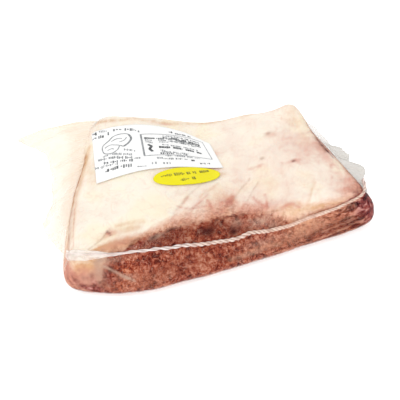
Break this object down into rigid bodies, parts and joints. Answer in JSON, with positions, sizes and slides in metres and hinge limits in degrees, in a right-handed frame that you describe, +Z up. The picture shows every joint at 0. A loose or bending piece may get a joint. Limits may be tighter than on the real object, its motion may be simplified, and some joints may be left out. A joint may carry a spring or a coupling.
{
  "type": "vacuum-packed raw beef ribeye cap",
  "caption": "Thick trapezoid slab of raw beef under a cream fat cap, shrunk into a clear film bag with a flap, an ear, a rolled pleat, a white label and a yellow oval sticker.",
  "frame": {"origin": "on the surface the pack lies on, under the middle of its box", "axes": "+X along the slab's length to the end with the crumpled ear, -Y towards the cut front face, +Z up"},
  "size_m": [0.3201, 0.2362, 0.0573],
  "materials": {
    "film_over_meat": "glossy shrunk film over cream fat and brown-red lean",
    "label_paper": "smooth white printed label paper under film",
    "sticker_paper": "smooth bright yellow sticker paper under film"
  },
  "bodies": {
    "root": {"sealed_bag": "film_over_meat", "main_label": "label_paper", "oval_sticker": "sticker_paper"}
  },
  "joints": []
}
